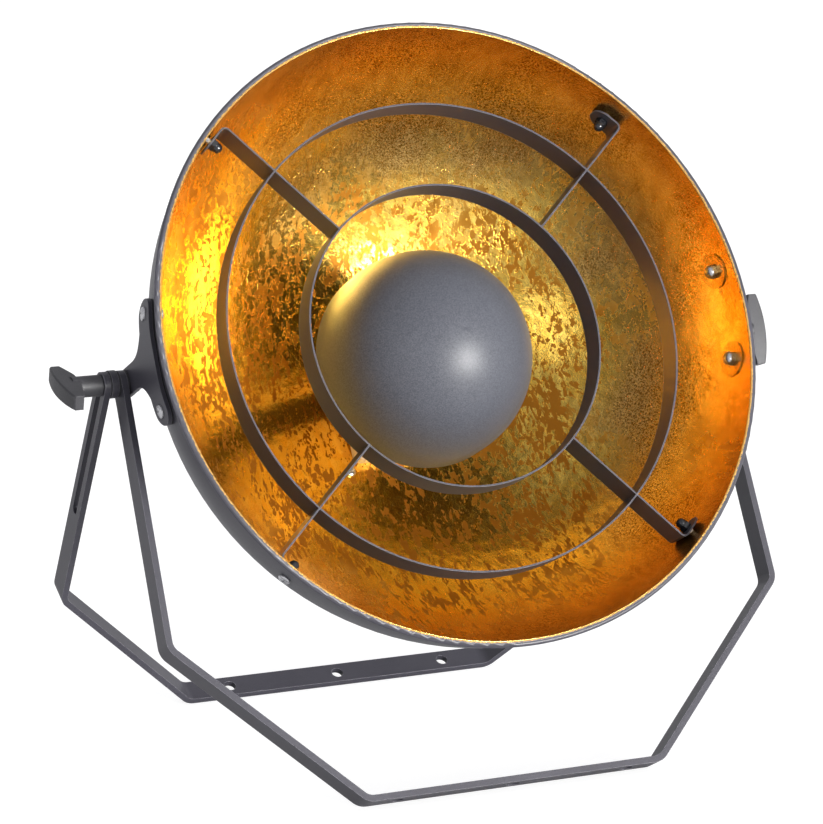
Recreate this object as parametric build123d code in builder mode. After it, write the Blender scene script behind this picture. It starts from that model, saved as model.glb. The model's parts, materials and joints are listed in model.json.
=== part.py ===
from build123d import *
import os
from math import asin, cos, degrees, radians, sin, sqrt

# Tabletop searchlight lamp: a deep spun bowl, gilded inside, hung by two side
# brackets between two bent flat-bar hoops that stand splayed on the table.
# Frame: X is the tilt axis, -Y is the front, +Z is up. The origin lies on the
# table, straight under the middle of the tilt axis. All sizes in millimetres.

# ---------------------------------------------------------------- stand
pivot_height = 245.0          # table to tilt axis
bar_width = 16.0              # flat bar of both hoops
bar_thickness = 4.0
bend_radius = 8.0             # inside of every bend
front_splay = 27.6            # degrees from upright
back_splay = 30.1
hoop_gap = 1.7                # rim to the front hoop at the eye
front_flare = 2.4             # how far each front leg leans out
front_flare_start = 12.0      # the leg is square to the tilt axis down to here
front_leg = 167.2             # eye to the lower bend, along the leg
front_foot = 199.0            # length of the front bottom bar
back_leg = 171.6
back_foot = 220.0
slot_travel = 99.5            # how far the back hoop slides on the pivot studs
slot_width = 6.6
foot_hole = 8.0               # screw-down holes in the bottom bars
foot_hole_pitch = 77.5

# ---------------------------------------------------------------- pivot stack
stud_diameter = 6.0
running_clearance = 0.05      # radial, stud in every turning bore
face_gap = 0.1                # between faces that slide on each other
washer_diameter = 16.0
hoop_washer = 1.5             # both sides of the front hoop's eye
link_washer = 0.8             # under the back hoop
spacer_diameter = 17.0
spacer_length = 4.1
weld_nut_flats = 10.0
weld_nut_height = 5.0
stud_tail = 1.0               # thread past the weld nut
stud_grip = 12.0              # thread moulded into the knob
knob_neck = 13.0              # diameter
knob_reach = 14.5             # hub face to the wing's shoulders
wing_length = 46.0
wing_width = 11.0             # at the middle
wing_end_width = 9.0
wing_thickness = 6.0          # at the ends
wing_rise = 4.0               # shoulders to the ends
wing_bow = 3.0                # outer face, middle over ends
wing_break = 0.8
left_wing_turn = 77.0         # how far each wing stands from upright
right_wing_turn = 18.0

# ---------------------------------------------------------------- head
head_tilt = 26.0              # degrees above level at rest
rim_ahead = 64.7              # rim plane in front of the tilt axis
bowl_radius = 196.0           # outer skin at the mouth
bowl_depth = 158.0
bowl_wall = 1.0
leaf_layer = 0.4              # gilded lining
section_arcs = 4              # the quarter oval of the bowl's section is drawn in so many arcs
rim_bead = 1.75               # radius of the rolled edge
rim_radius = bowl_radius - bowl_wall + 2 * rim_bead

strip_width = 18.0            # flat strip of the grille, on edge
strip_thickness = 1.0
notch_reach = 2.0             # each notch runs this far past the strip it takes
grille_front = 51.8           # front edge of every strip
outer_ring_radius = 149.2     # middle of the strip
inner_ring_radius = 96.2
notch_clearance = 0.05
spoke_count = 4
tab_turn = 45.0               # screws of the spoke tabs
tab_reach = 10.5              # tab screw to the spoke's middle plane
tab_end_reach = 9.0           # tab screw to the rounded end
spoke_bend = 3.0              # inside of the bend at the wall

grille_screw = 4.0            # shank diameter
grille_head_radius = 3.9
grille_head_height = 2.2
cap_nut_flats = 7.0
cap_nut_hex = 3.2
cap_nut_dome_radius = 3.25
cap_nut_dome = 4.8            # height over the hexagon

dome_radius = 67.4            # glare dome, outside
dome_wall = 1.0
dome_centre = -1.0            # ahead of the tilt axis
dome_skirt = 13.0
strap_width = 16.0
strap_thickness = 1.5
strap_foot = 24.0             # half the flat that lies on the bowl
strap_bend = 4.0
weld_lap = 11.0               # strap inside the skirt

# ---------------------------------------------------------------- side brackets
plate_thickness = 2.5
plate_front = 53.0            # front edge of the curved bar
plate_back = 35.0             # back edge of the curved bar
plate_half_span = 39.0        # tilt axis to the end of the bar
stem_half_width = 8.6
flare_root = 16.0             # where the stem starts to widen
flare_half_span = 24.2        # half its width where it meets the bar
flare_slope = 0.45            # run over rise of its edge there
flare_lap = 2.0               # stem inside the bar
plate_curve = 118.0           # bend of the bar round the bowl
bracket_screw_turn = 8.7      # degrees either side of the tilt axis
bracket_screw = 5.0
bracket_head_radius = 4.3
bracket_head_height = 2.3
head_sink = 0.5               # spot face under each screw head
gasket_inset = 0.5
gasket_pad_start = 22.0       # the pads swell out past here
gasket_strip = 1.0
gasket_depth = 4.0            # the pads fill the gap to the bowl up to here
big_washer_radius = 11.2
big_washer_thickness = 1.0
bracket_nut_flats = 8.0
bracket_nut_height = 3.0
bracket_nut_dome = 2.4

# ---------------------------------------------------------------- lampholder and bulb
base_width = 45.0
base_length = 87.0
base_thickness = 8.0
base_corner = 5.0
base_screw_pitch = 70.0
base_screw = 4.0
base_head_radius = 3.8
base_head_height = 2.4
barrel_radius = 23.0
barrel_height = 44.0
barrel_chamfer = 1.0
socket_radius = 14.6          # bore for the threaded shell
socket_floor = 10.0           # porcelain left under the socket
recess_headroom = 1.5         # porcelain above the gland's locknut
shell_wall = 0.5
shell_length = 24.0
contact_radius = 5.0
contact_height = 4.0
wire_hole = 2.0
cap_clearance = 0.8           # radial, cap in the threaded shell
cap_length = 26.0
cap_taper = 4.9               # cone at the cap's end
bulb_radius = 30.0
bulb_length = 105.0
neck_step = 0.3               # glass neck inside the cap's radius
collar_height = 2.0           # straight glass above the barrel
glass_wall = 0.8
earth_screw = 4.0
earth_head_radius = 3.6
earth_head_height = 2.3
earth_across = -27.0          # beside the base's lower corner
earth_down = -49.0

# ---------------------------------------------------------------- cable gland
gland_tube = 5.0              # radius
gland_bore = 3.4
gland_flange = 9.5
gland_flange_height = 4.0
gland_shoulder = 1.0          # step from the flange to the cone
gland_cone = 12.0
gland_tip = 6.5
locknut_flats = 15.0
locknut_height = 3.0
recess_clearance = 0.5

# ---------------------------------------------------------------- fasteners in general
hole_clearance = 0.2          # radial, shank in a punched hole
recess_length = 4.2           # cross recess of every screw head
recess_slot = 0.9
recess_depth = 1.1
head_edge = 0.4               # share of a screw head's height that is upright
small_nut_flats = 7.0         # plain nuts under the lampholder and the earth screw
small_nut_height = 3.0
thread_tail = 1.0
seat_lift = 0.09              # flat seat above the hollow of a curved wall
cut_margin = 1.0              # a cut runs this far past the face it opens

# ---------------------------------------------------------------- places worked out from the sizes
across = Vector(1, 0, 0)
pivot = Vector(0, 0, pivot_height)
facing = Vector(0, -cos(radians(head_tilt)), sin(radians(head_tilt)))
upward = Vector(0, sin(radians(head_tilt)), cos(radians(head_tilt)))
head = Plane(origin=pivot, x_dir=across, z_dir=facing)

front_inner = rim_radius + hoop_gap
front_outer = front_inner + bar_thickness
plate_face = front_inner - hoop_washer - face_gap
spacer_start = front_outer + hoop_washer + face_gap
spacer_end = spacer_start + spacer_length
link_washer_end = spacer_end + link_washer
back_inner = link_washer_end + face_gap
back_outer = back_inner + bar_thickness
knob_start = back_outer + face_gap
plate_inner = plate_face - plate_thickness
stud_start = plate_inner - weld_nut_height - stud_tail
grille_back = grille_front - strip_width
grille_middle = grille_front - strip_width / 2
bracket_ahead = (plate_front + plate_back) / 2
lining_face = bowl_wall + leaf_layer
stud_bore = stud_diameter / 2 + running_clearance
plate_flat = stem_half_width  # the bracket stays flat as far as its stem is wide
cap_radius = socket_radius - shell_wall - cap_clearance
bulb_neck = cap_radius - neck_step


def section_of(place):
    """Half-section plane of anything turned about `place`: local x is radius, local y is height."""
    return Plane(origin=place.origin, x_dir=place.x_dir, z_dir=-place.y_dir)


def axis_of(place):
    return Axis(place.origin, place.z_dir)


def skin_radius(ahead, inset=0.0):
    """Radius of the bowl's face that lies `inset` inside its outer skin."""
    back = (rim_ahead - ahead) / (bowl_depth - inset)
    return (bowl_radius - inset) * sqrt(1 - back**2)


def skin_level(radius, inset=0.0):
    """How far ahead of the tilt axis that face lies, `radius` from the head's middle line."""
    return rim_ahead - (bowl_depth - inset) * sqrt(1 - (radius / (bowl_radius - inset)) ** 2)


def wall_plane(turn, ahead, square=True):
    """Plane on the bowl's outer skin that looks into the bowl, square to the wall or to the middle line."""
    radial = across * cos(radians(turn)) + upward * sin(radians(turn))
    tangent = upward * cos(radians(turn)) - across * sin(radians(turn))
    back = (rim_ahead - ahead) / bowl_depth
    slope = bowl_radius / bowl_depth * back / sqrt(1 - back**2)
    spot = pivot + facing * ahead + radial * skin_radius(ahead)
    return Plane(origin=spot, x_dir=tangent, z_dir=facing * slope - radial if square else -radial)


def flipped(place):
    return Plane(origin=place.origin, x_dir=place.x_dir, z_dir=-place.z_dir)


def bowl_half(inset):
    """Half section of the solid body inside the face `inset` below the outer skin."""
    with BuildSketch(section_of(head)) as half:
        with BuildLine():
            mouth = (bowl_radius - inset, rim_ahead)
            bottom = (0, rim_ahead - bowl_depth + inset)
            for number in range(section_arcs):
                EllipticalCenterArc(
                    (0, rim_ahead), bowl_radius - inset, bowl_depth - inset,
                    start_angle=270 + 90 / section_arcs * number, arc_size=90 / section_arcs,
                )
            Line(mouth, (0, rim_ahead))
            Line((0, rim_ahead), bottom)
        make_face()
    return half.sketch


def disc(place, start, end, radius, bore=0.0, mode=Mode.ADD):
    """Round slab or ring square to `place`, between two heights above it."""
    with BuildSketch(place.offset(start)) as face:
        Circle(radius)
        if bore:
            Circle(bore, mode=Mode.SUBTRACT)
    extrude(face.sketch, amount=end - start, mode=mode)


def hexagon(place, start, end, flats, bore):
    with BuildSketch(place.offset(start)) as face:
        RegularPolygon(radius=flats / 2, side_count=6, major_radius=False)
        Circle(bore, mode=Mode.SUBTRACT)
    extrude(face.sketch, amount=end - start)


def round_cap(place, start, radius, height):
    """Dome that closes the end of a nut, on a straight neck where it is taller than it is wide."""
    with BuildSketch(section_of(place)) as half:
        with BuildLine():
            if height > radius:
                neck = start + height - radius
                Line((radius, start), (radius, neck))
                CenterArc((0, neck), radius, 0, 90)
            else:
                EllipticalCenterArc((0, start), radius, height, start_angle=0, arc_size=90)
            Polyline((0, start + height), (0, start), (radius, start))
        make_face()
    revolve(half.sketch, axis=axis_of(place))


def pan_screw(seat, shank, length, head_radius, head_height):
    """The head stands on `seat`, and the shank goes the other way."""
    edge = head_height * head_edge
    with BuildSketch(section_of(seat)) as half:
        with BuildLine():
            Polyline((0, head_height), (0, -length), (shank, -length), (shank, 0), (head_radius, 0),
                     (head_radius, edge))
            EllipticalCenterArc((0, edge), head_radius, head_height - edge, start_angle=0, arc_size=90)
        make_face()
    revolve(half.sketch, axis=axis_of(seat))
    with BuildSketch(seat.offset(head_height - recess_depth)) as cross:
        Rectangle(recess_length, recess_slot)
        Rectangle(recess_slot, recess_length)
    extrude(cross.sketch, amount=head_height, mode=Mode.SUBTRACT)


def save(piece, name):
    piece.part.label = name
    export_step(piece.part, f"parts/{name}.step")


os.makedirs("parts", exist_ok=True)
sides = {"left": -1, "right": 1}
tab_turns = [tab_turn + 360 / spoke_count * number for number in range(spoke_count)]
tab_planes = [wall_plane(turn, grille_middle, square=False) for turn in tab_turns]
bracket_turns = [180 * (side < 0) + end * bracket_screw_turn for side in (-1, 1) for end in (-1, 1)]
bracket_planes = [wall_plane(turn, bracket_ahead) for turn in bracket_turns]
earth_radius = sqrt(earth_across**2 + earth_down**2)
earth_turn = 180 + degrees(asin(-earth_down / earth_radius))
earth_plane = wall_plane(earth_turn, skin_level(earth_radius))
base_screw_planes = [
    Plane(origin=pivot + upward * end * base_screw_pitch / 2, x_dir=across, z_dir=facing)
    for end in (-1, 1)
]


def fixing_holes(start, end):
    """Every hole in the bowl's wall, cut between two depths inside its outer skin."""
    rows = ((tab_planes, grille_screw), (bracket_planes, bracket_screw), ([earth_plane], earth_screw))
    for places, screw in rows:
        for place in places:
            disc(place, start, end, screw / 2 + hole_clearance, mode=Mode.SUBTRACT)
    for place in base_screw_planes:
        disc(place, -bowl_depth, 0, base_screw / 2 + hole_clearance, mode=Mode.SUBTRACT)
    disc(head, -bowl_depth, 0, gland_tube + hole_clearance, mode=Mode.SUBTRACT)


# ---------------------------------------------------------------- bowl
with BuildPart() as bowl_shell:
    revolve(bowl_half(0), axis=axis_of(head))
    revolve(bowl_half(bowl_wall), axis=axis_of(head), mode=Mode.SUBTRACT)
    with BuildSketch(section_of(head)) as bead:
        with Locations((rim_radius - rim_bead, rim_ahead - rim_bead)):
            Circle(rim_bead)
    revolve(bead.sketch, axis=axis_of(head))
    fixing_holes(-bowl_wall, bowl_wall + cut_margin)
save(bowl_shell, "bowl_shell")

with BuildPart() as gold_leaf_lining:
    revolve(bowl_half(bowl_wall), axis=axis_of(head))
    revolve(bowl_half(lining_face), axis=axis_of(head), mode=Mode.SUBTRACT)
    fixing_holes(0, lining_face + cut_margin)
save(gold_leaf_lining, "gold_leaf_lining")

# ---------------------------------------------------------------- grille
# Each tab stands square to the bowl's radius, and its back edge lies on the lining.
tab_radius = sqrt((skin_radius(grille_back, lining_face) - seat_lift) ** 2 - tab_reach**2)
tab_depth = skin_radius(grille_middle) - tab_radius
spoke_turn = tab_turn - degrees(asin(tab_reach / tab_radius))


def grille_ring(middle_radius):
    disc(head, grille_back, grille_front, middle_radius + strip_thickness / 2,
         middle_radius - strip_thickness / 2)


with BuildPart() as grille_outer_ring:
    grille_ring(outer_ring_radius)
    with BuildSketch(head.offset(grille_middle)) as notches:
        with PolarLocations(outer_ring_radius, spoke_count, start_angle=spoke_turn):
            Rectangle(strip_thickness + 2 * notch_reach, strip_thickness + 2 * notch_clearance)
    extrude(notches.sketch, amount=strip_width, mode=Mode.SUBTRACT)
save(grille_outer_ring, "grille_outer_ring")

with BuildPart() as grille_inner_ring:
    grille_ring(inner_ring_radius)
save(grille_inner_ring, "grille_inner_ring")

for number, place in enumerate(tab_planes):
    spoke_way = radians(spoke_turn + 360 / spoke_count * number)
    ray = Plane(origin=pivot, x_dir=across * cos(spoke_way) + upward * sin(spoke_way), z_dir=facing)
    bend_turn = radians(tab_turn - spoke_turn)
    spoke_start = (inner_ring_radius + strip_thickness / 2, -strip_thickness / 2)
    corner = ((tab_radius + strip_thickness / 2 * sin(bend_turn)) / cos(bend_turn), -strip_thickness / 2)
    tab_length = tab_reach + tab_end_reach
    tab_end = (corner[0] - tab_length * sin(bend_turn), corner[1] + tab_length * cos(bend_turn))
    with BuildPart() as grille_spoke:
        # a strip on edge, bent once into its tab
        with BuildSketch(ray.offset(grille_back)) as strip:
            with BuildLine():
                FilletPolyline(spoke_start, corner, tab_end, radius=spoke_bend + strip_thickness)
                offset(amount=strip_thickness, side=Side.LEFT)
            make_face()
        extrude(strip.sketch, amount=strip_width)
        # the round end of the tab
        with BuildSketch(place) as tab:
            Circle(strip_width / 2)
            with Locations((-tab_length, 0)):
                Rectangle(2 * tab_length, strip_width)
        extrude(tab.sketch, amount=bowl_radius, mode=Mode.INTERSECT)
        with BuildSketch(ray.offset(grille_back)) as notch:
            with Locations((outer_ring_radius, 0)):
                Rectangle(strip_thickness + 2 * notch_clearance, strip_thickness + 2 * notch_reach)
        extrude(notch.sketch, amount=strip_width / 2, mode=Mode.SUBTRACT)
        disc(place, 0, tab_depth + strip_thickness + cut_margin, grille_screw / 2 + hole_clearance,
             mode=Mode.SUBTRACT)
    save(grille_spoke, f"grille_spoke_{number + 1}")

# The screw heads stand off the sloping wall, and the cap nuts lie flat on the tabs.
head_lift = skin_radius(grille_middle + grille_head_radius) - skin_radius(grille_middle)
nut_seat = tab_depth + strip_thickness
with BuildPart() as grille_screws:
    for place in tab_planes:
        pan_screw(flipped(place).offset(head_lift), grille_screw / 2, head_lift + nut_seat + cap_nut_hex,
                  grille_head_radius, grille_head_height)
save(grille_screws, "grille_screws")

with BuildPart() as grille_cap_nuts:
    for place in tab_planes:
        hexagon(place, nut_seat, nut_seat + cap_nut_hex, cap_nut_flats, grille_screw / 2)
        round_cap(place, nut_seat + cap_nut_hex, cap_nut_dome_radius, cap_nut_dome)
save(grille_cap_nuts, "grille_cap_nuts")

# ---------------------------------------------------------------- glare dome and its strap
with BuildPart() as glare_dome:
    dome_inner = dome_radius - dome_wall
    skirt_end = dome_centre - dome_skirt
    with BuildSketch(section_of(head)) as dome_half:
        with BuildLine():
            CenterArc((0, dome_centre), dome_radius, 0, 90)
            Line((dome_radius, dome_centre), (dome_radius, skirt_end))
            Line((dome_radius, skirt_end), (dome_inner, skirt_end))
            Line((dome_inner, skirt_end), (dome_inner, dome_centre))
            CenterArc((0, dome_centre), dome_inner, 0, 90)
            Line((0, dome_centre + dome_inner), (0, dome_centre + dome_radius))
        make_face()
    revolve(dome_half.sketch, axis=axis_of(head))
save(glare_dome, "glare_dome")

strap_under = skin_level(sqrt(strap_foot**2 + (strap_width / 2) ** 2), lining_face)
strap_top = strap_under + strap_thickness
strap_side = sqrt(dome_inner**2 - (strap_width / 2) ** 2)
with BuildPart() as dome_strap:
    with BuildSketch(section_of(head)) as strap_half:
        with BuildLine():
            FilletPolyline(
                (-strap_side, skirt_end + weld_lap),
                (-strap_side, skirt_end),
                (-strap_foot, strap_under),
                (strap_foot, strap_under),
                (strap_side, skirt_end),
                (strap_side, skirt_end + weld_lap),
                radius=strap_bend,
            )
            offset(amount=strap_thickness, side=Side.LEFT)
        make_face()
    extrude(strap_half.sketch, amount=strap_width / 2, both=True)
    disc(head, -bowl_depth, 0, gland_tube + hole_clearance, mode=Mode.SUBTRACT)
save(dome_strap, "dome_strap")

# ---------------------------------------------------------------- lampholder
corner_reach = sqrt((base_width / 2 - base_corner) ** 2 + (base_length / 2 - base_corner) ** 2)
base_under = skin_level(corner_reach + base_corner, lining_face)
base_top = base_under + base_thickness
socket_start = base_under + socket_floor
barrel_top = base_top + barrel_height
locknut_top = strap_top + locknut_height

with BuildPart() as lampholder_body:
    with BuildSketch(head.offset(base_under)) as base_outline:
        RectangleRounded(base_width, base_length, base_corner)
    extrude(base_outline.sketch, amount=base_thickness)
    disc(head, base_top, barrel_top, barrel_radius)
    disc(head, socket_start, barrel_top, socket_radius, mode=Mode.SUBTRACT)
    recess_radius = locknut_flats / sqrt(3) + recess_clearance
    disc(head, base_under, locknut_top + recess_headroom, recess_radius, mode=Mode.SUBTRACT)
    for place in base_screw_planes:
        disc(place, base_under, base_top, base_screw / 2 + hole_clearance, mode=Mode.SUBTRACT)
    for end in (-1, 1):
        wire_way = Plane(origin=pivot + across * end * recess_radius / 2, x_dir=across, z_dir=facing)
        disc(wire_way, base_under, socket_start, wire_hole, mode=Mode.SUBTRACT)
    mouth_edges = lampholder_body.edges().filter_by(GeomType.CIRCLE).sort_by(axis_of(head))[-2:]
    chamfer(mouth_edges, barrel_chamfer)
save(lampholder_body, "lampholder_body")

with BuildPart() as lampholder_shell:
    disc(head, barrel_top - shell_length, barrel_top - barrel_chamfer, socket_radius,
         socket_radius - shell_wall)
save(lampholder_shell, "lampholder_shell")

with BuildPart() as lampholder_contact:
    disc(head, socket_start, socket_start + contact_height, contact_radius)
save(lampholder_contact, "lampholder_contact")

base_nut_seat = skin_level((base_screw_pitch - small_nut_flats) / 2) - seat_lift
base_screw_length = base_top - base_nut_seat + small_nut_height + thread_tail
with BuildPart() as lampholder_screws:
    for place in base_screw_planes:
        pan_screw(place.offset(base_top), base_screw / 2, base_screw_length, base_head_radius,
                  base_head_height)
save(lampholder_screws, "lampholder_screws")

with BuildPart() as lampholder_nuts:
    for place in base_screw_planes:
        hexagon(place, base_nut_seat - small_nut_height, base_nut_seat, small_nut_flats, base_screw / 2)
save(lampholder_nuts, "lampholder_nuts")

# ---------------------------------------------------------------- bulb
bulb_start = socket_start + contact_height
with BuildPart() as bulb_cap:
    disc(head, bulb_start, bulb_start + cap_length, cap_radius)
    chamfer(bulb_cap.edges().group_by(axis_of(head))[0], cap_taper)
save(bulb_cap, "bulb_cap")

glass_start = bulb_start + cap_length
glass_centre = bulb_start + bulb_length - bulb_radius
with BuildPart() as bulb_glass:
    with BuildSketch(section_of(head)) as glass_half:
        for inset, mode in ((0.0, Mode.ADD), (glass_wall, Mode.SUBTRACT)):
            with BuildLine() as glass_line:
                shoulder = (bulb_radius - inset, glass_centre)
                neck = (bulb_neck - inset, glass_start + inset)
                CenterArc((0, glass_centre), bulb_radius - inset, 0, 90)
                collar = (bulb_neck - inset, barrel_top + collar_height)
                Spline(collar, shoulder, tangents=((0, 1), (0, 1)))
                Line(collar, neck)
                Line(neck, (0, glass_start + inset))
                Line((0, glass_start + inset), (0, glass_centre + bulb_radius - inset))
            make_face(glass_line.edges(), mode=mode)
    revolve(glass_half.sketch, axis=axis_of(head))
save(bulb_glass, "bulb_glass")

# ---------------------------------------------------------------- earth screw
with BuildPart() as earth_screw_piece:
    earth_seat = earth_plane.offset(lining_face + seat_lift)
    pan_screw(earth_seat, earth_screw / 2, lining_face + small_nut_height + thread_tail,
              earth_head_radius, earth_head_height)
save(earth_screw_piece, "earth_screw")

with BuildPart() as earth_nut:
    hexagon(flipped(earth_plane), seat_lift, small_nut_height, small_nut_flats, earth_screw / 2)
save(earth_nut, "earth_nut")

# ---------------------------------------------------------------- cable gland
skin_back = rim_ahead - bowl_depth
with BuildPart() as cable_gland:
    gland_end = skin_back - gland_flange_height - gland_cone
    with BuildSketch(section_of(head)) as gland_half:
        with BuildLine():
            Polyline(
                (gland_bore, gland_end),
                (gland_tip, gland_end),
                (gland_flange - gland_shoulder, skin_back - gland_flange_height),
                (gland_flange, skin_back - gland_flange_height),
                (gland_flange, skin_back),
                (gland_tube, skin_back),
                (gland_tube, locknut_top + recess_clearance),
                (gland_bore, locknut_top + recess_clearance),
                close=True,
            )
        make_face()
    revolve(gland_half.sketch, axis=axis_of(head))
save(cable_gland, "cable_gland")

with BuildPart() as gland_locknut:
    hexagon(head, strap_top, locknut_top, locknut_flats, gland_tube)
save(gland_locknut, "gland_locknut")

# ---------------------------------------------------------------- side brackets
def plate_edge(face, side):
    """Face line of the bracket plate, seen along the head: flat by the stem, bent round the bowl."""
    fall = plate_half_span + bar_width - plate_flat
    drop = plate_curve - sqrt(plate_curve**2 - fall**2)
    half = fall / 2
    sag = plate_curve - sqrt(plate_curve**2 - half**2)
    reach = plate_flat + fall
    with BuildLine() as line:
        ThreePointArc((side * (face - drop), -reach), (side * (face - sag), -plate_flat - half),
                      (side * face, -plate_flat))
        Line((side * face, -plate_flat), (side * face, plate_flat))
        ThreePointArc((side * face, plate_flat), (side * (face - sag), plate_flat + half),
                      (side * (face - drop), reach))
    return line.line


def plate_band(outer, inner, side):
    """Slab between two faces of the bent plate, as a sketch across the head."""
    with BuildSketch(head) as band:
        with BuildLine():
            add(plate_edge(outer, side))
            add(plate_edge(inner, side))
            reach = plate_half_span + bar_width
            fall = reach - plate_flat
            drop = plate_curve - sqrt(plate_curve**2 - fall**2)
            for end in (-1, 1):
                Line((side * (outer - drop), end * reach), (side * (inner - drop), end * reach))
        make_face()
    return band.sketch


def anchor_outline(inset=0.0, stem=True):
    """Outline of the bracket, seen along the tilt axis: local x is ahead, local y is up."""
    bar_back = plate_back + flare_lap
    with BuildSketch(Plane(origin=pivot, x_dir=facing, z_dir=-across)) as outline:
        with Locations((bracket_ahead, 0)):
            SlotOverall(2 * plate_half_span - 2 * inset, plate_front - plate_back - 2 * inset, rotation=90)
        if stem:
            Circle(stem_half_width)
            with BuildLine():
                Polyline((0, -stem_half_width), (flare_root, -stem_half_width))
                Spline((flare_root, -stem_half_width), (bar_back, -flare_half_span),
                       tangents=((1, 0), (flare_slope, -1)))
                Line((bar_back, -flare_half_span), (bar_back, flare_half_span))
                Spline((bar_back, flare_half_span), (flare_root, stem_half_width),
                       tangents=((-flare_slope, -1), (-1, 0)))
                Line((flare_root, stem_half_width), (0, stem_half_width))
                Line((0, stem_half_width), (0, -stem_half_width))
            make_face()
    return outline.sketch


def tilt_axis_plane(side):
    """Plane through the head's middle that looks outwards along the tilt axis."""
    return Plane(origin=pivot, x_dir=upward, z_dir=across * side)


def plate_radius(face, turn):
    """Radius at which a ray `turn` off the tilt axis leaves the bent part of the plate."""
    reach = (face - plate_curve) * cos(radians(turn)) + plate_flat * sin(radians(turn))
    return reach + sqrt(reach**2 + plate_curve**2 - (face - plate_curve) ** 2 - plate_flat**2)


seat_rise = plate_radius(plate_face, bracket_screw_turn) - skin_radius(bracket_ahead) - head_sink
washer_top = lining_face + seat_lift + big_washer_thickness
bracket_nut_seat = washer_top + seat_lift

for name, side in sides.items():
    outward = tilt_axis_plane(side)
    near = bracket_planes[:2] if side < 0 else bracket_planes[2:]

    with BuildPart() as pivot_bracket:
        extrude(plate_band(plate_face, plate_inner, side), amount=plate_front)
        extrude(plate_band(plate_face, plate_inner, side), amount=-2 * stem_half_width)
        extrude(anchor_outline(), amount=2 * rim_radius, both=True, mode=Mode.INTERSECT)
        disc(outward, plate_inner - cut_margin, plate_face + cut_margin, stud_bore, mode=Mode.SUBTRACT)
        for place in near:
            out = flipped(place)
            disc(out, -bowl_wall, seat_rise, bracket_screw / 2 + hole_clearance, mode=Mode.SUBTRACT)
            disc(out, seat_rise, 2 * seat_rise, bracket_head_radius + hole_clearance, mode=Mode.SUBTRACT)
    save(pivot_bracket, f"pivot_bracket_{name}")

    with BuildPart() as bracket_gasket:
        extrude(plate_band(plate_inner, plate_inner - gasket_depth, side), amount=plate_front)
        with BuildSketch(outward.offset(bowl_radius / 2)) as middle_gap:
            Rectangle(2 * gasket_pad_start, 2 * rim_radius)
        extrude(middle_gap.sketch, amount=bowl_radius, mode=Mode.SUBTRACT)
        extrude(plate_band(plate_inner, plate_inner - gasket_strip, side), amount=plate_front)
        extrude(anchor_outline(gasket_inset, stem=False), amount=2 * rim_radius, both=True,
                mode=Mode.INTERSECT)
        revolve(bowl_half(0), axis=axis_of(head), mode=Mode.SUBTRACT)
        for place in near:
            disc(flipped(place), -bowl_wall, 2 * seat_rise, bracket_screw / 2 + hole_clearance,
                 mode=Mode.SUBTRACT)
    save(bracket_gasket, f"bracket_gasket_{name}")

    with BuildPart() as pivot_weld_nut:
        hexagon(outward, plate_inner - weld_nut_height, plate_inner, weld_nut_flats, stud_bore)
    save(pivot_weld_nut, f"pivot_weld_nut_{name}")

    with BuildPart() as pivot_spacer:
        disc(outward, spacer_start, spacer_end, spacer_diameter / 2, stud_bore)
    save(pivot_spacer, f"pivot_spacer_{name}")

    with BuildPart() as knob_stud:
        disc(outward, stud_start, knob_start + stud_grip, stud_diameter / 2)
    save(knob_stud, f"knob_stud_{name}")

    turn = radians(left_wing_turn if side < 0 else right_wing_turn)
    wing_way = Vector(0, sin(turn), cos(turn))
    wing_side = Plane(origin=pivot, x_dir=wing_way, z_dir=wing_way.cross(across * side))
    wing_plan = Plane(origin=pivot, x_dir=wing_way, z_dir=across * side)
    shoulder = knob_start + knob_reach
    wing_inner = shoulder + wing_rise
    wing_outer = wing_inner + wing_thickness
    tip = wing_length / 2
    with BuildPart() as t_knob:
        with BuildSketch(wing_side) as wing_profile:
            with BuildLine():
                ThreePointArc((-tip, wing_outer), (0, wing_outer + wing_bow), (tip, wing_outer))
                Polyline((tip, wing_outer), (tip, wing_inner), (knob_neck / 2, shoulder),
                         (-knob_neck / 2, shoulder), (-tip, wing_inner), (-tip, wing_outer))
            make_face()
        extrude(wing_profile.sketch, amount=wing_width / 2, both=True)
        with BuildSketch(wing_plan) as wing_outline:
            with BuildLine():
                for end in (-1, 1):
                    ThreePointArc((-tip, end * wing_end_width / 2), (0, end * wing_width / 2),
                                  (tip, end * wing_end_width / 2))
                    Line((end * tip, -wing_end_width / 2), (end * tip, wing_end_width / 2))
            make_face()
        extrude(wing_outline.sketch, amount=2 * wing_outer, mode=Mode.INTERSECT)
        chamfer(t_knob.faces().sort_by(axis_of(wing_plan))[-1].edges(), wing_break)
        disc(outward, knob_start, wing_inner, knob_neck / 2)
        disc(outward, knob_start, knob_start + stud_grip, stud_diameter / 2, mode=Mode.SUBTRACT)
    save(t_knob, f"t_knob_{name}")

with BuildPart() as bracket_screws:
    for place in bracket_planes:
        seat = flipped(place).offset(seat_rise)
        pan_screw(seat, bracket_screw / 2, seat_rise + bracket_nut_seat + bracket_nut_height,
                  bracket_head_radius, bracket_head_height)
save(bracket_screws, "bracket_screws")

with BuildPart() as bracket_washers:
    for place in bracket_planes:
        disc(place, -big_washer_radius / 2, big_washer_radius / 2, big_washer_radius,
             bracket_screw / 2 + hole_clearance)
    revolve(bowl_half(washer_top), axis=axis_of(head), mode=Mode.SUBTRACT)
    revolve(bowl_half(lining_face + seat_lift), axis=axis_of(head), mode=Mode.INTERSECT)
save(bracket_washers, "bracket_washers")

with BuildPart() as bracket_nuts:
    for place in bracket_planes:
        nut_end = bracket_nut_seat + bracket_nut_height
        hexagon(place, bracket_nut_seat, nut_end, bracket_nut_flats, bracket_screw / 2)
        round_cap(place, nut_end, bracket_nut_flats / 2, bracket_nut_dome)
save(bracket_nuts, "bracket_nuts")

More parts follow.
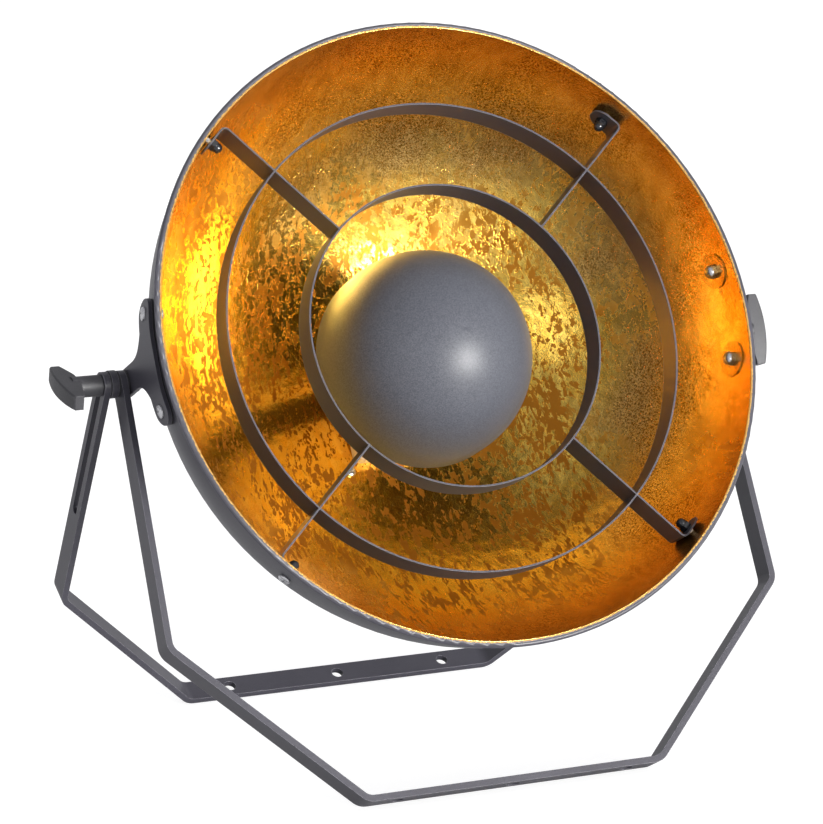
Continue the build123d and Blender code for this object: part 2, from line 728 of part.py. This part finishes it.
# ---------------------------------------------------------------- pivot washers
with BuildPart() as hoop_washers:
    for side in sides.values():
        outward = tilt_axis_plane(side)
        disc(outward, front_inner - hoop_washer, front_inner, washer_diameter / 2, stud_bore)
        disc(outward, front_outer, front_outer + hoop_washer, washer_diameter / 2, stud_bore)
save(hoop_washers, "hoop_washers")

with BuildPart() as link_washers:
    for side in sides.values():
        disc(tilt_axis_plane(side), spacer_end, link_washer_end, washer_diameter / 2, stud_bore)
save(link_washers, "link_washers")

# ---------------------------------------------------------------- hoops


def hoop(splay, outer, flare, flare_start, leg, foot, slot):
    """Flat bar bent to a wide U: two legs, two sloping shoulders and a bottom bar.

    `splay` is the lean from upright, towards the front when positive. The lower inner edge of the
    bottom bar lies on the table.
    """
    lean = radians(splay)
    width_way = Vector(0, -cos(lean), sin(lean))
    drop = (pivot_height - bar_width / 2 * abs(sin(lean))) / cos(lean)
    face = Plane(origin=pivot, x_dir=across, z_dir=width_way)
    side_view = Plane(origin=pivot, x_dir=width_way, z_dir=across)
    corners = [(outer, bar_width / 2), (outer, -flare_start), (outer + flare, -leg), (foot / 2, -drop)]
    if not flare:
        del corners[1]
    mirrored = [(-x, y) for x, y in corners]
    bends = [bend_radius + bar_thickness] * (2 * len(corners) - 2)
    with BuildPart() as bar:
        with BuildSketch(face) as band:
            with BuildLine():
                FilletPolyline(*mirrored, *reversed(corners), radius=bends)
                offset(amount=bar_thickness, side=Side.LEFT)
            make_face()
        extrude(band.sketch, amount=bar_width / 2, both=True)
        with BuildSketch(side_view) as leg_outline:
            Circle(bar_width / 2)
            with Locations((0, drop)):
                Rectangle(bar_width, 2 * drop)
        extrude(leg_outline.sketch, amount=outer + bar_width, both=True, mode=Mode.INTERSECT)
        with BuildSketch(side_view) as eye:
            if slot:
                with Locations((0, slot / 2)):
                    SlotCenterToCenter(slot, slot_width, rotation=90)
            else:
                Circle(stud_bore)
        extrude(eye.sketch, amount=outer + bar_width, both=True, mode=Mode.SUBTRACT)
        with BuildSketch(Plane(origin=pivot, x_dir=across, z_dir=face.y_dir)) as foot_holes:
            with GridLocations(foot_hole_pitch, 0, 3, 1):
                Circle(foot_hole / 2)
        extrude(foot_holes.sketch, amount=-2 * drop, mode=Mode.SUBTRACT)
    return bar


save(hoop(front_splay, front_outer, front_flare, front_flare_start, front_leg, front_foot, 0), "front_hoop")
save(hoop(-back_splay, back_outer, 0, 0, back_leg, back_foot, slot_travel), "back_hoop")
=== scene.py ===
import json
from math import cos, pi, radians, sin

import bpy
from mathutils import Matrix, Vector, noise


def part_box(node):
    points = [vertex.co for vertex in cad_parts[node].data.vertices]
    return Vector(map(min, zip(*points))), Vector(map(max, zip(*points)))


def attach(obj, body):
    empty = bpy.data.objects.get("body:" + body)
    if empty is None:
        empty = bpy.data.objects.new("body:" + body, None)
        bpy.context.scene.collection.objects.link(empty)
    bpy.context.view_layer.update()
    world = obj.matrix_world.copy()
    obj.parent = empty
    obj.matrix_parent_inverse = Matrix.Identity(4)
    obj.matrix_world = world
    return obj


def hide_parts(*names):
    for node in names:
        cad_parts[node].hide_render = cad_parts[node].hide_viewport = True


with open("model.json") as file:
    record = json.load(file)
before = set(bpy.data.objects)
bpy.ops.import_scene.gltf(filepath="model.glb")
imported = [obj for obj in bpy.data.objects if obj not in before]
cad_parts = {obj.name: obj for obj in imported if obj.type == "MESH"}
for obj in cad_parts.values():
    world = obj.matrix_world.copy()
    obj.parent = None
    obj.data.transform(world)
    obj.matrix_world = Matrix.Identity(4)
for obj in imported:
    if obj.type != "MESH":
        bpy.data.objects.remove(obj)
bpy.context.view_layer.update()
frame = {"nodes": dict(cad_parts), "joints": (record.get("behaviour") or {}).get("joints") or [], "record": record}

# Looks of the tabletop searchlight lamp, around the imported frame. Metres, +Z up, the front is -Y.
MM = 0.001

# ---------------------------------------------------------------- camera, floor and light
CAMERA_PLACE = Vector((-0.9441, -2.0058, 0.6547))       # metres
CAMERA_TURN = 24.988            # degrees to the right of +Y
CAMERA_DROP = 11.33             # degrees below the horizon
CAMERA_LENS = 158.15            # mm, for the sensor's width below
SENSOR_WIDTH = 36.0             # mm
FLOOR_SIZE = 60.0               # metres
FLOOR_WHITE = (0.93, 0.93, 0.93, 1)
FLOOR_GLOW = 1.33               # light that the paper gives off to the camera alone, so that it stays white
FLOOR_GLOW_SHARE = 0.62         # share of that light in what the camera sees of the paper

SKY_BASE = (0.60, 0.60, 0.62)
# Soft lights: turn from -Y towards +X, height, half angle of the bright disc and width of its soft edge,
# all in degrees, then strength and colour
SOFT_LIGHTS = [
    (20, 6, 13, 12, 8.0, (1.0, 0.99, 0.97)),
    (22, 4, 9, 6, 75.0, (1.0, 0.99, 0.97)),
    (-38, 20, 9, 9, 2.2, (1.0, 1.0, 1.0)),
    (30, 44, 16, 16, 0.8, (1.0, 1.0, 1.0)),
]

# ---------------------------------------------------------------- places read from the frame
tilt = next(j for j in frame["joints"] if j["name"] == "head_tilt")
PIVOT = Vector(tilt["pos_m"])
ring_low, ring_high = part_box("grille_outer_ring")
head_line = (ring_low + ring_high) / 2 - PIVOT
FACING = Vector((0, head_line.y, head_line.z)).normalized()
UPWARD = Vector((0, FACING.z, -FACING.y))
ACROSS = Vector((1, 0, 0))
HEAD = Matrix.Translation(PIVOT) @ Matrix((ACROSS, UPWARD, FACING)).transposed().to_4x4()

# Sizes of the bowl, the same as in the construction
RIM_AHEAD = 64.7 * MM           # from the tilt axis to the plane of the mouth
BOWL_RADIUS = 196.0 * MM        # outside of the wall at the mouth
BOWL_DEPTH = 158.0 * MM         # outside of the wall, from the mouth to the bottom
BOWL_WALL = 1.0 * MM
LEAF_LAYER = 0.4 * MM
BEAD_RADIUS = 1.75 * MM         # of the rolled edge
RIM_RADIUS = BOWL_RADIUS - BOWL_WALL + 2 * BEAD_RADIUS


# ---------------------------------------------------------------- node helpers
def is_socket(value):
    return isinstance(value, bpy.types.NodeSocket)


class Shading:
    """The nodes of a material or of the world, each written with its inputs."""

    def __init__(self, owner, output_kind):
        owner.use_nodes = True
        self.owner = owner
        self.tree = owner.node_tree
        self.tree.nodes.clear()
        self.output = self.tree.nodes.new("ShaderNodeOutput" + output_kind)

    def give(self, socket, value):
        """Links an input to another node's output, or sets it to a plain value."""
        if is_socket(value):
            self.tree.links.new(value, socket)
        else:
            socket.default_value = value

    def add(self, kind, inputs=None, **settings):
        node = self.tree.nodes.new("ShaderNode" + kind)
        for name, value in settings.items():
            setattr(node, name, value)
        for name, value in (inputs or {}).items():
            self.give(node.inputs[name], value)
        return node

    def place(self):
        """Where a point lies, in metres in the row frame."""
        return self.add("TexCoord").outputs["Object"]

    def stretched(self, vector, stretch, turn=(0.0, 0.0, 0.0)):
        """A place turned by `turn` (radians) and scaled along each axis by `stretch`."""
        inputs = {"Vector": vector, "Rotation": turn, "Scale": stretch}
        return self.add("Mapping", inputs).outputs["Vector"]

    def noise(self, vector, scale, detail=2.0, roughness=0.5, distortion=0.0):
        inputs = {"Vector": vector, "Scale": scale, "Detail": detail, "Roughness": roughness,
                  "Distortion": distortion}
        return self.add("TexNoise", inputs).outputs["Fac"]

    def cells(self, vector, scale, distance="EUCLIDEAN"):
        """Random numbers from 0 to 1 for each Voronoi cell: outputs Red, Green and Blue."""
        pattern = self.add("TexVoronoi", {"Vector": vector, "Scale": scale}, distance=distance)
        return self.add("SeparateColor", {"Color": pattern.outputs["Color"]}).outputs

    def ramp(self, value, start, end):
        """Runs from one (position, number) pair to the other, and stays level beyond them."""
        node = self.add("ValToRGB", {"Fac": value})
        for element, (position, number) in zip(node.color_ramp.elements, (start, end)):
            element.position = position
            element.color = (number, number, number, 1)
        return node.outputs["Color"]

    def math(self, operation, *values):
        return self.add("Math", dict(enumerate(values)), operation=operation).outputs["Value"]

    def vector(self, operation, *values, scale=None):
        inputs = dict(enumerate(values))
        if scale is not None:
            inputs["Scale"] = scale
        node = self.add("VectorMath", inputs, operation=operation)
        return node.outputs["Value" if operation in ("DOT_PRODUCT", "LENGTH") else "Vector"]

    def mix_node(self, data_type, inputs, result, **settings):
        """A Mix node. Its sockets share their names, so they go by their identifiers."""
        node = self.add("Mix", data_type=data_type, **settings)
        for socket in node.inputs:
            if socket.identifier in inputs:
                self.give(socket, inputs[socket.identifier])
        return next(s for s in node.outputs if s.identifier == result)

    def mix(self, share, first, second, blend_type="MIX"):
        """Mix of two colours, each of them a socket or three numbers."""
        first, second = (c if is_socket(c) else (*c, 1) for c in (first, second))
        inputs = {"Factor_Float": share, "A_Color": first, "B_Color": second}
        return self.mix_node("RGBA", inputs, "Result_Color", blend_type=blend_type)

    def blend(self, share, first, second):
        """Mix of two numbers."""
        inputs = {"Factor_Float": share, "A_Float": first, "B_Float": second}
        return self.mix_node("FLOAT", inputs, "Result_Float")

    def bump(self, height, depth, edge=None, strength=1.0):
        """Relief `depth` metres deep, on a normal that rounds each edge by `edge` metres."""
        inputs = {"Height": height, "Distance": depth, "Strength": strength}
        if edge:
            inputs["Normal"] = self.add("Bevel", {"Radius": edge}, samples=4).outputs["Normal"]
        return self.add("Bump", inputs).outputs["Normal"]

    def shader(self, **inputs):
        """The main shader: each of its inputs by its name, with _ for a blank."""
        named = {name.replace("_", " "): value for name, value in inputs.items()}
        return self.add("BsdfPrincipled", named).outputs["BSDF"]

    def show(self, shader):
        """Makes a shader the surface, and returns what carries it."""
        self.tree.links.new(shader, self.output.inputs["Surface"])
        return self.owner

    def finish(self, **inputs):
        return self.show(self.shader(**inputs))


def new_material(name):
    return Shading(bpy.data.materials.new(name), "Material")


# ---------------------------------------------------------------- grey powder coat
PAINT_DARK = (0.027, 0.026, 0.035)
PAINT_LIGHT = (0.052, 0.050, 0.063)
# lighter colour of a painted highlight along sharp edges
PAINT_EDGE_HIGHLIGHT = (0.34, 0.33, 0.37)
PAINT_EDGE_HIGHLIGHT_SHARE = 0.55               # how far a sharp edge goes towards the lighter colour of the painted highlight


def edge_share(m, radius):
    """1 on edges that are sharper than `radius` metres, 0 on open faces."""
    rounded = m.add("Bevel", {"Radius": radius}, samples=6).outputs["Normal"]
    flat = m.add("NewGeometry").outputs["Normal"]
    return m.ramp(m.vector("DOT_PRODUCT", rounded, flat), (0.80, 1.0), (0.985, 0.0))


def paint_parts(m):
    """Powder coat: colour, roughness and normal of a fine grain over an orange peel, with a painted highlight of
    lighter colour along sharp edges.
    """
    place = m.place()
    grain = m.noise(place, scale=2100.0, roughness=0.6)
    peel = m.noise(place, scale=420.0)
    cloud = m.noise(place, scale=14.0, detail=3.0)
    shade = m.ramp(m.blend(0.3, grain, cloud), (0.34, 0.0), (0.66, 1.0))
    colour = m.mix(shade, PAINT_DARK, PAINT_LIGHT)
    # painted highlight: sharp edges get a lighter colour, standing in for the light they catch
    colour = m.mix(m.math("MULTIPLY", edge_share(m, 0.0005), PAINT_EDGE_HIGHLIGHT_SHARE), colour, PAINT_EDGE_HIGHLIGHT)
    rough = m.ramp(grain, (0.3, 0.34), (0.7, 0.48))
    height = m.blend(0.45, grain, peel)
    return colour, rough, m.bump(height, depth=0.00005, edge=0.0004, strength=0.6)


def grey_paint():
    m = new_material("grey_paint")
    colour, rough, normal = paint_parts(m)
    return m.finish(Base_Color=colour, Roughness=rough, Normal=normal, Specular_IOR_Level=0.42)


# ---------------------------------------------------------------- gold leaf
LEAF_BRIGHT = (1.0, 0.67, 0.13)
LEAF_DEEP = (0.97, 0.56, 0.075)
BURNISHED_LIGHT = (0.94, 0.62, 0.20)
BURNISHED_DARK = (0.76, 0.46, 0.13)
SPECK_BROWN = (0.38, 0.19, 0.035)
# dark metallic brown, partly bare ground and partly painted dark reflection of crumpled leaf
BARE_GROUND_AND_DARK_REFLECTION = (0.36, 0.145, 0.013)
WASHER_BROWN = (0.35, 0.17, 0.05)
WASHER_STAIN = 0.45             # how far the washers' leaf goes towards that brown

# Torn slivers of leaf: width in metres, turn of their grain in radians, weight
LEAF_LAYERS = [
    (0.0040, (0.3, 0.8, 0.5), 0.30),
    (0.0030, (1.1, 0.2, 2.1), 0.30),
    (0.0023, (2.2, 1.3, 0.9), 0.28),
    (0.0017, (0.7, 2.5, 1.7), 0.24),
    (0.0011, (1.9, 0.6, 2.8), 0.18),
]
SLIVER_STRETCH = (1.0, 0.24, 0.6)
SLIVER_SWIRL = 0.011            # metres that the slivers are bent by
TONE_TURN = (0.9, 1.7, 0.4)
TONE_STRETCH = (1.0, 0.3, 0.7)
STREAK_STRETCH = (1.0, 0.35, 0.35)
CRUMPLE_DRIFT = 0.9             # how unevenly the crumpled middle ends, in radii of the bowl


def head_parts(m):
    """Distance from the head's middle line and distance ahead of the tilt axis, in metres."""
    from_pivot = m.vector("SUBTRACT", m.place(), tuple(PIVOT))
    ahead = m.vector("DOT_PRODUCT", from_pivot, tuple(FACING))
    along = m.vector("SCALE", tuple(FACING), scale=ahead)
    return m.vector("LENGTH", m.vector("SUBTRACT", from_pivot, along)), ahead


def around_zero(m, value, size):
    """A number from 0 to 1, moved to lie from -size / 2 to size / 2."""
    return m.math("MULTIPLY", m.math("SUBTRACT", value, 0.5), size)


def leaf_parts(m):
    """Gold leaf over brown size: colour, roughness, normal and metal share."""
    radius, _ = head_parts(m)
    place = m.place()
    drift = m.noise(place, scale=13.0, detail=3.0, roughness=0.55)
    reach = m.math("DIVIDE", radius, BOWL_RADIUS)
    # the leaf is torn and crumpled in the middle, and lies smooth near the mouth
    uneven_reach = m.math("ADD", reach, around_zero(m, drift, CRUMPLE_DRIFT))
    crumple = m.ramp(uneven_reach, (0.66, 1.0), (0.90, 0.0))
    swirl = m.add("TexNoise", {"Vector": place, "Scale": 17.0, "Detail": 1.0}).outputs["Color"]
    bent = m.vector("ADD", place, m.vector("SCALE", swirl, scale=SLIVER_SWIRL))
    # dark brown patches where the slivers' weights add up to little: partly bare ground between the leaf, partly a
    # painted dark reflection of the surroundings in crumpled leaf
    score = m.noise(place, scale=24.0, detail=3.0)
    for width, turn, weight in LEAF_LAYERS:
        sliver = m.cells(m.stretched(bent, SLIVER_STRETCH, turn), 1 / width)["Red"]
        score = m.math("ADD", score, around_zero(m, sliver, weight))
    bare_and_dark_reflection = m.math("MULTIPLY", m.ramp(score, (0.425, 1.0), (0.435, 0.0)), crumple)
    # each scrap of leaf has its own tone and height
    tone = m.cells(m.stretched(bent, TONE_STRETCH, TONE_TURN), 260.0, distance="MANHATTAN")
    # fine speckle and soft streaks of the smooth part
    along = m.stretched(place, STREAK_STRETCH)
    streak = m.noise(along, scale=95.0, detail=8.0, roughness=0.72, distortion=1.4)
    worn = m.ramp(streak, (0.44, 0.0), (0.60, 1.0))
    speck = m.ramp(m.noise(place, scale=900.0, detail=3.0, roughness=0.7), (0.50, 0.0), (0.54, 1.0))
    speck = m.math("MULTIPLY", speck, m.ramp(drift, (0.42, 0.0), (0.56, 1.0)))
    leaf = m.mix(tone["Red"], LEAF_BRIGHT, LEAF_DEEP)
    smooth = m.mix(worn, BURNISHED_LIGHT, BURNISHED_DARK)
    smooth = m.mix(speck, smooth, SPECK_BROWN)
    colour = m.mix(bare_and_dark_reflection, m.mix(crumple, smooth, leaf), BARE_GROUND_AND_DARK_REFLECTION)
    rough = m.blend(bare_and_dark_reflection, m.blend(crumple, 0.26, 0.17), 0.42)
    creases = m.noise(place, scale=600.0, detail=3.0, roughness=0.6, distortion=0.8)
    height = m.math("SUBTRACT", m.math("ADD", tone["Green"], creases), m.math("MULTIPLY", bare_and_dark_reflection, 0.4))
    normal = m.bump(height, depth=0.00022, strength=0.35)
    return colour, rough, normal, m.blend(bare_and_dark_reflection, 1.0, 0.9)


def gold_leaf():
    m = new_material("gold_leaf")
    colour, rough, normal, metal = leaf_parts(m)
    return m.finish(Base_Color=colour, Roughness=rough, Normal=normal, Metallic=metal)


def gilded_washer():
    m = new_material("gilded_washer")
    colour, rough, normal, metal = leaf_parts(m)
    stained = m.mix(WASHER_STAIN, colour, WASHER_BROWN)
    return m.finish(Base_Color=stained, Roughness=rough, Normal=normal, Metallic=metal)


# ---------------------------------------------------------------- bowl outside, with its gilded edge
GILT_END = RIM_RADIUS - 2.9 * MM        # the gilding's end, from the head's middle line
GILT_RAGGED = 3.0 * MM                  # how far that end wanders
GILT_BACK = RIM_AHEAD - 2.6 * BEAD_RADIUS       # its other end, ahead of the tilt axis
GILT_LIGHT = (0.80, 0.46, 0.13)
GILT_DARK = (0.26, 0.13, 0.045)


def gilded_edge_paint():
    """The bowl's shell: painted outside, gilded over the inner part of its rolled edge."""
    m = new_material("bowl_paint")
    colour, rough, normal = paint_parts(m)
    place = m.place()
    radius, ahead = head_parts(m)
    ragged = around_zero(m, m.noise(place, scale=700.0, detail=5.0, roughness=0.75), GILT_RAGGED)
    inner = m.math("LESS_THAN", m.math("ADD", radius, ragged), GILT_END)
    gilded = m.math("MULTIPLY", inner, m.math("GREATER_THAN", ahead, GILT_BACK))
    fleck = m.noise(place, scale=1300.0, detail=3.0, roughness=0.7)
    gold = m.mix(m.ramp(fleck, (0.45, 0.0), (0.62, 1.0)), GILT_LIGHT, GILT_DARK)
    return m.finish(
        Base_Color=m.mix(gilded, colour, gold),
        Roughness=m.blend(gilded, rough, 0.30),
        Metallic=gilded,
        Normal=normal,
        Specular_IOR_Level=0.55,
    )


# ---------------------------------------------------------------- other materials
DOME_DARK = (0.046, 0.048, 0.060)
DOME_LIGHT = (0.088, 0.092, 0.108)
GLAZE_DARK = (0.78, 0.66, 0.50)
GLAZE_LIGHT = (0.86, 0.77, 0.62)
GLAZE_SPECK = (0.45, 0.36, 0.25)
GLASS_DARK = (0.83, 0.83, 0.81)
GLASS_LIGHT = (0.90, 0.90, 0.88)


def dome_metal():
    m = new_material("dome_metal")
    place = m.place()
    grain = m.noise(place, scale=1500.0, roughness=0.7)
    shade = m.blend(0.4, grain, m.cells(place, 1900.0)["Red"])
    colour = m.mix(m.ramp(shade, (0.25, 0.0), (0.75, 1.0)), DOME_DARK, DOME_LIGHT)
    rough = m.ramp(grain, (0.3, 0.36), (0.7, 0.46))
    return m.finish(Base_Color=colour, Roughness=rough, Metallic=0.0, Specular_IOR_Level=0.32,
                    Normal=m.bump(shade, depth=0.00002, edge=0.0004, strength=0.4))


def plain_metal(name, low, high, rough_low, rough_high):
    """Turned or rolled metal with fine scratches and a little colour variation."""
    m = new_material(name)
    place = m.place()
    scratch = m.noise(m.stretched(place, (1.0, 1.0, 7.0)), scale=900.0, detail=3.0, roughness=0.7)
    cloud = m.noise(place, scale=75.0)
    colour = m.mix(m.ramp(m.blend(0.5, scratch, cloud), (0.35, 0.0), (0.65, 1.0)), low, high)
    rough = m.ramp(scratch, (0.3, rough_low), (0.7, rough_high))
    return m.finish(Base_Color=colour, Roughness=rough, Metallic=1.0,
                    Normal=m.bump(scratch, depth=0.00002, edge=0.0003, strength=0.5))


def moulded(name, low, high, rough_low, rough_high, scale=1100.0, depth=0.00008):
    """Plastic, rubber or black metal with a fine even grain, `depth` metres deep."""
    m = new_material(name)
    place = m.place()
    grain = m.noise(place, scale=scale, detail=3.0, roughness=0.65)
    cloud = m.noise(place, scale=60.0, detail=3.0)
    colour = m.mix(m.ramp(m.blend(0.4, grain, cloud), (0.3, 0.0), (0.7, 1.0)), low, high)
    rough = m.ramp(grain, (0.3, rough_low), (0.7, rough_high))
    return m.finish(Base_Color=colour, Roughness=rough,
                    Normal=m.bump(grain, depth=depth, edge=0.0006, strength=0.7))


def porcelain():
    m = new_material("porcelain")
    place = m.place()
    cloud = m.noise(place, scale=45.0, detail=4.0, roughness=0.6)
    speck = m.ramp(m.noise(place, scale=700.0), (0.68, 0.0), (0.76, 1.0))
    glaze = m.mix(m.ramp(cloud, (0.35, 0.0), (0.65, 1.0)), GLAZE_DARK, GLAZE_LIGHT)
    colour = m.mix(m.math("MULTIPLY", speck, 0.5), glaze, GLAZE_SPECK)
    return m.finish(Base_Color=colour, Roughness=0.22, Coat_Weight=0.6, Coat_Roughness=0.08,
                    Normal=m.bump(cloud, depth=0.0001, edge=0.0007, strength=0.4))


def frosted_glass():
    m = new_material("frosted_glass")
    place = m.place()
    cloud = m.noise(place, scale=35.0, detail=3.0)
    frost = m.noise(place, scale=2500.0, roughness=0.6)
    colour = m.mix(m.ramp(cloud, (0.3, 0.0), (0.7, 1.0)), GLASS_DARK, GLASS_LIGHT)
    rough = m.ramp(frost, (0.3, 0.24), (0.7, 0.38))
    return m.finish(Base_Color=colour, Roughness=rough, Coat_Weight=0.4, Coat_Roughness=0.15,
                    Subsurface_Weight=0.25, Subsurface_Scale=0.004,
                    Normal=m.bump(frost, depth=0.00002, strength=0.4))


# Dark colour, light colour, lowest and highest roughness
PLAIN_METALS = {
    "bright_steel": ((0.45, 0.45, 0.47), (0.72, 0.72, 0.74), 0.20, 0.34),
    "raw_brass": ((0.60, 0.42, 0.16), (0.80, 0.62, 0.28), 0.20, 0.36),
    "cap_metal": ((0.55, 0.55, 0.56), (0.74, 0.74, 0.75), 0.25, 0.38),
}
BLACK_PLASTIC = ((0.016, 0.016, 0.019), (0.040, 0.039, 0.045), 0.42, 0.62)
BLACK_METAL = ((0.006, 0.006, 0.007), (0.018, 0.018, 0.021), 0.10, 0.20)
BLACK_RUBBER = ((0.014, 0.014, 0.016), (0.030, 0.030, 0.033), 0.6, 0.8)

MATERIALS = {
    "grey_paint": grey_paint(),
    "gold_leaf": gold_leaf(),
    "gilded_washer": gilded_washer(),
    "dome_metal": dome_metal(),
    "black_plastic": moulded("black_plastic", *BLACK_PLASTIC),
    "black_metal": moulded("black_metal", *BLACK_METAL, scale=500.0, depth=0.00002),
    "black_rubber": moulded("black_rubber", *BLACK_RUBBER, scale=1600.0),
    "porcelain": porcelain(),
    "frosted_glass": frosted_glass(),
    **{name: plain_metal(name, *look) for name, look in PLAIN_METALS.items()},
}


def dress(piece, material):
    piece.data.materials.clear()
    piece.data.materials.append(material)


for part in frame["record"]["subparts"]:
    dress(frame["nodes"][part["node"]], MATERIALS[part["material_slot"]])
dress(frame["nodes"]["bowl_shell"], gilded_edge_paint())


# ---------------------------------------------------------------- gold leaf lining
LINING_TURNS = 640              # points round the bowl
LINING_STEPS = 190              # rings of points from the middle to the mouth
CRUMPLE = 0.22 * MM             # height of the wrinkles in the middle
CRUMPLE_FADE = 0.7              # power by which they get lower towards the mouth
BURNISH = 0.06 * MM             # height of the wrinkles near the mouth

# Folds of the leaf at two sizes: folds to a metre, where in the noise they start, share in the height
WIDE_FOLDS, WIDE_START, WIDE_SHARE = 95.0, Vector((3.1, 0.7, 5.2)), 1.1
FINE_FOLDS, FINE_START, FINE_SHARE = 240.0, Vector((7.3, 2.9, 1.4)), 0.7
BENDS, BEND_SIZE = 40.0, 0.6    # bends of the wide folds: bends to a metre, and how far they go


def wrinkle(spot):
    """Height from 0 to 1 of crumpled leaf at a point, with sharp folds at two sizes."""
    bend = BEND_SIZE * noise.noise_vector(spot * BENDS)
    wide = abs(noise.noise(spot * WIDE_FOLDS + WIDE_START + bend))
    fine = abs(noise.noise(spot * FINE_FOLDS + FINE_START))
    return min(1.0, WIDE_SHARE * wide + FINE_SHARE * fine)


def polar_grid():
    """Points from the bowl's bottom to its mouth: ring, angle along the section, turn round the bowl."""
    for step in range(LINING_STEPS + 1):
        for number in range(LINING_TURNS if step else 1):
            yield step, pi / 2 * step / LINING_STEPS, 2 * pi * number / LINING_TURNS


def lining_front():
    """The wrinkled face. Its last ring lies level, to meet the rolled edge."""
    inner_radius = BOWL_RADIUS - BOWL_WALL - LEAF_LAYER
    inner_depth = BOWL_DEPTH - BOWL_WALL - LEAF_LAYER
    points = []
    for step, angle, turn in polar_grid():
        radius = inner_radius * sin(angle)
        level = RIM_AHEAD - inner_depth * cos(angle)
        share = radius / inner_radius
        height = CRUMPLE * (1 - share) ** CRUMPLE_FADE + BURNISH * share
        outward = Vector((sin(angle) / inner_radius, -cos(angle) / inner_depth)).normalized()
        spot = Vector((radius * cos(turn), radius * sin(turn), level))
        rise = height * wrinkle(spot) * (1 if step < LINING_STEPS else 0)
        out = Vector((outward.x * cos(turn), outward.x * sin(turn), outward.y))
        points.append(HEAD @ (spot - out * rise))
    return points


def lining_back():
    """The smooth face that lies on the bowl's wall."""
    outer_radius = BOWL_RADIUS - BOWL_WALL
    outer_depth = BOWL_DEPTH - BOWL_WALL
    points = []
    for _, angle, turn in polar_grid():
        radius = outer_radius * sin(angle)
        level = RIM_AHEAD - outer_depth * cos(angle)
        points.append(HEAD @ Vector((radius * cos(turn), radius * sin(turn), level)))
    return points


def bowl_faces(start, flip):
    """Faces of one polar grid whose middle point has the index `start`."""
    faces = []
    for number in range(LINING_TURNS):
        after = (number + 1) % LINING_TURNS
        faces.append((start, start + 1 + number, start + 1 + after))
        for step in range(LINING_STEPS - 1):
            low = start + 1 + step * LINING_TURNS
            high = low + LINING_TURNS
            faces.append((low + number, high + number, high + after, low + after))
    return [tuple(reversed(f)) for f in faces] if flip else faces


def make_piece(name, points, faces, body, slot, replaced):
    """A piece from points in the row frame, finished like its slot and riding on its body."""
    mesh = bpy.data.meshes.new(name)
    mesh.from_pydata([tuple(p) for p in points], [], faces)
    mesh.update()
    mesh.shade_smooth()
    piece = bpy.data.objects.new(name, mesh)
    bpy.context.scene.collection.objects.link(piece)
    mesh.materials.append(MATERIALS[slot])
    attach(piece, body)
    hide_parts(*replaced)


def make_lining():
    front = lining_front()
    back = lining_back()
    faces = bowl_faces(0, False) + bowl_faces(len(front), True)
    front_edge = len(front) - LINING_TURNS
    back_edge = len(front) + len(back) - LINING_TURNS
    for number in range(LINING_TURNS):
        after = (number + 1) % LINING_TURNS
        faces.append((front_edge + number, back_edge + number, back_edge + after, front_edge + after))
    make_piece("crumpled_leaf_lining", front + back, faces, "head", "gold_leaf", ["gold_leaf_lining"])


# ---------------------------------------------------------------- floor, light and camera
def make_floor():
    half = FLOOR_SIZE / 2
    corners = [(-half, -half, 0), (half, -half, 0), (half, half, 0), (-half, half, 0)]
    mesh = bpy.data.meshes.new("floor")
    mesh.from_pydata(corners, [], [(0, 1, 2, 3)])
    floor = bpy.data.objects.new("floor", mesh)
    bpy.context.scene.collection.objects.link(floor)
    m = new_material("floor_paper")
    rough = m.ramp(m.noise(m.place(), scale=30.0), (0.3, 0.60), (0.7, 0.70))
    paper = m.shader(Base_Color=FLOOR_WHITE, Roughness=rough, Specular_IOR_Level=0.2)
    glow = m.add("Emission", {"Strength": FLOOR_GLOW}).outputs["Emission"]
    share = m.math("MULTIPLY", m.add("LightPath").outputs["Is Camera Ray"], FLOOR_GLOW_SHARE)
    mesh.materials.append(m.show(m.add("MixShader", {0: share, 1: paper, 2: glow}).outputs[0]))


def make_world():
    """White as the camera sees it. All else is lit by an even sky and the soft lights."""
    world = bpy.data.worlds.new("studio")
    bpy.context.scene.world = world
    m = Shading(world, "World")
    way = m.vector("NORMALIZE", m.add("TexCoord").outputs["Generated"])
    total = SKY_BASE
    for turn, height, half, soft, strength, colour in SOFT_LIGHTS:
        aim = (sin(radians(turn)) * cos(radians(height)), -cos(radians(turn)) * cos(radians(height)),
               sin(radians(height)))
        near = m.vector("DOT_PRODUCT", way, aim)
        inner, outer = cos(radians(half - soft / 2)), cos(radians(half + soft / 2))
        disc = m.add("MapRange", {"Value": near, "From Min": outer, "From Max": inner},
                     interpolation_type="SMOOTHSTEP").outputs["Result"]
        lamp = m.mix(disc, (0.0, 0.0, 0.0), tuple(strength * c for c in colour))
        total = m.mix(1.0, total, lamp, "ADD")
    lit = m.add("Background", {"Color": total, "Strength": 1.0})
    white = m.add("Background", {"Color": (1, 1, 1, 1), "Strength": 1.0})
    seen = m.add("LightPath").outputs["Is Camera Ray"]
    m.show(m.add("MixShader", {0: seen, 1: lit.outputs[0], 2: white.outputs[0]}).outputs[0])


def make_camera():
    data = bpy.data.cameras.new("camera")
    data.sensor_fit = "HORIZONTAL"
    data.sensor_width = SENSOR_WIDTH
    data.lens = CAMERA_LENS
    camera = bpy.data.objects.new("camera", data)
    bpy.context.scene.collection.objects.link(camera)
    turn, drop = radians(CAMERA_TURN), radians(CAMERA_DROP)
    forward = Vector((sin(turn) * cos(drop), cos(turn) * cos(drop), -sin(drop)))
    camera.location = CAMERA_PLACE
    camera.rotation_euler = forward.to_track_quat("-Z", "Y").to_euler()
    bpy.context.scene.camera = camera


make_lining()
make_floor()
make_world()
make_camera()
bpy.context.scene.view_settings.view_transform = "Standard"
